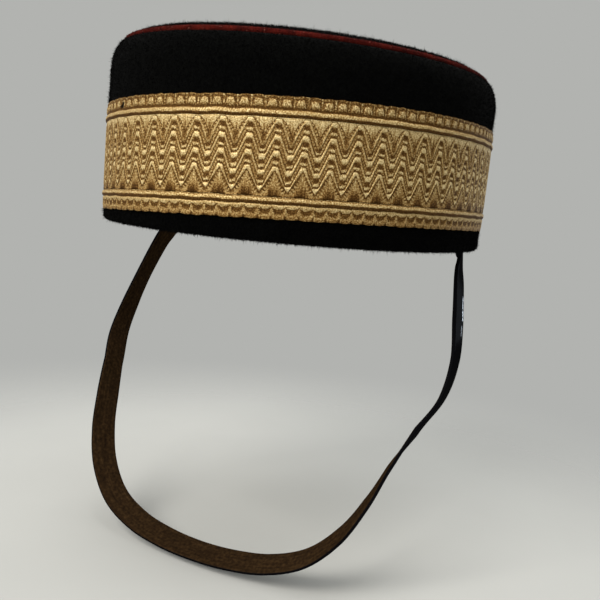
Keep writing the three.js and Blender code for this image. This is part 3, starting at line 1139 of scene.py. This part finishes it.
# Rubbed patches that catch the light: middle, reach and fade along the strap and across it
polishedPatches = [
    {"along": (53.5, 5.0, 1.5), "across": (4.6, 0.6, 0.5), "strength": 1.0},
    {"along": (64.5, 2.0, 1.0), "across": (3.4, 0.4, 0.5), "strength": 0.3},
]
leather = {
    "black": [(6, 6, 8), (16, 16, 18)],
    "brown": [(0.3, (24, 17, 11)), (0.5, (42, 30, 18)), (0.75, (66, 49, 30))],
    "poreScale": 1500.0,
    "fuzzScale": 700,
    "bumpDepth": 0.00012,  # metres
}


def leatherFinish():
    # glossy black grain outside, brown flesh side inside, and dull dark edges
    finish = Finish("strapLeather")
    along, side = finish.onMap("along")
    across = finish.onMap("across")[0]
    place = finish.place()
    outside = side.step(0.9, 0.97)
    inside = 1 - side.step(0.06, 0.16)
    scuffs = finish.noise(finish.joined(along * 0.6, across * 1.2), 1.0, 2.0).step(0.4, 0.55)
    polished = 0
    for patch in polishedPatches:
        lit = along.near(*patch["along"]) * across.near(*patch["across"])
        polished = lit * patch["strength"] + polished
    cells = {"Vector": place, "Scale": leather["poreScale"]}
    pores = finish.node("ShaderNodeTexVoronoi", {"feature": "DISTANCE_TO_EDGE"}, cells)
    pores = pores.step(0.0, 0.22)
    fuzz = finish.noise(place, leather["fuzzScale"], 4.0)
    stretch = finish.noise(finish.joined(along * 0.06, across * 0.8), 1.0, 3.0)
    black = finish.mixed(stretch, *(tint(*colour) for colour in leather["black"]))
    brown = finish.tints(fuzz * 0.6 + stretch * 0.4, leather["brown"])
    return finish.surface(
        **{
            "Base Color": finish.mixed(inside, black, brown),
            "Roughness": inside * 0.55 + 0.3 + (stretch - 0.5) * 0.15 - outside * 0.06,
            "Specular IOR Level": 0.0,
            "Coat Weight": outside * (polished * scuffs + 0.01),
            "Coat Roughness": 0.15,
            "Normal": finish.bump(pores * 0.5 + fuzz * 0.5, leather["bumpDepth"], 0.45),
        }
    )


rideAs(strapPiece(), leatherFinish(), "strap_leather", "chin_strap")
print("strap made")


# Camera, floor and lights

camera = {
    "place": (0.2012, -0.36681, 0.02345),  # metres
    "heading": 28.006,  # degrees
    "pitch": -7.869,
    "roll": 5.426,
    "focal": 836.9,  # in widths of a picture element
    "frame": 600,
    "sensor": 36.0,
}


def addCamera():
    data = bpy.data.cameras.new("camera")
    data.sensor_width = camera["sensor"]
    data.lens = camera["focal"] / camera["frame"] * camera["sensor"]
    data.clip_start = 0.01
    made = linked("camera", data)
    heading, pitch, roll = (math.radians(camera[key]) for key in ("heading", "pitch", "roll"))
    aim = Matrix.Rotation(heading, 4, "Z") @ Matrix.Rotation(math.pi / 2 + pitch, 4, "X")
    made.matrix_world = Matrix.Translation(Vector(camera["place"])) @ aim @ Matrix.Rotation(roll, 4, "Z")
    bpy.context.scene.camera = made


lights = [  # metres, watts
    {"name": "key", "place": (-0.24, -1.22, 1.0), "size": 0.9, "power": 27.5, "hue": (1.0, 0.96, 0.9)},
    {"name": "top", "place": (0.1, 0.2, 1.4), "size": 1.2, "power": 14.0, "hue": (1.0, 0.99, 0.97)},
    {"name": "glint", "place": (0.52, 1.38, -0.03), "size": 0.2, "power": 0.8, "hue": (0.78, 0.88, 1.0)},
]


def addLights():
    for row in lights:
        data = bpy.data.lights.new(row["name"], "AREA")
        data.size = row["size"]
        data.energy = row["power"]
        data.color = row["hue"]
        made = linked(row["name"], data)
        made.location = row["place"]
        made.rotation_euler = (-Vector(row["place"])).to_track_quat("-Z", "Y").to_euler()
        made.visible_camera = False
    world = bpy.data.worlds.new("studio")
    world.use_nodes = True
    world.node_tree.nodes["Background"].inputs["Color"].default_value = tint(178, 179, 176)
    world.node_tree.nodes["Background"].inputs["Strength"].default_value = 1.0
    bpy.context.scene.world = world


floor = {  # metres
    "level": -0.1505,
    "half": 1.6,
    "fade": (0.1, 0.42),  # distances from the middle over which it fades out
    "tints": [(186, 187, 184), (198, 199, 196)],
}


def addFloor():
    finish = Finish("paleFloor")
    place = finish.place()
    far = finish.node("ShaderNodeVectorMath", {"operation": "LENGTH"}, {0: place}, "Value")
    mottle = finish.noise(place, 9.0, 3.0)
    finish.surface(
        **{
            "Base Color": finish.mixed(mottle, *(tint(*colour) for colour in floor["tints"])),
            "Roughness": 0.8,
            "Alpha": 1 - far.step(*floor["fade"]),
        }
    )
    half, level = floor["half"], floor["level"]
    mesh = bpy.data.meshes.new("floor")
    corners = [(-half, -half, level), (half, -half, level), (half, half, level), (-half, half, level)]
    mesh.from_pydata(corners, [], [(0, 1, 2, 3)])
    mesh.materials.append(finish.material)
    linked("floor", mesh)


addCamera()
addLights()
addFloor()
print("camera, lights and floor made")
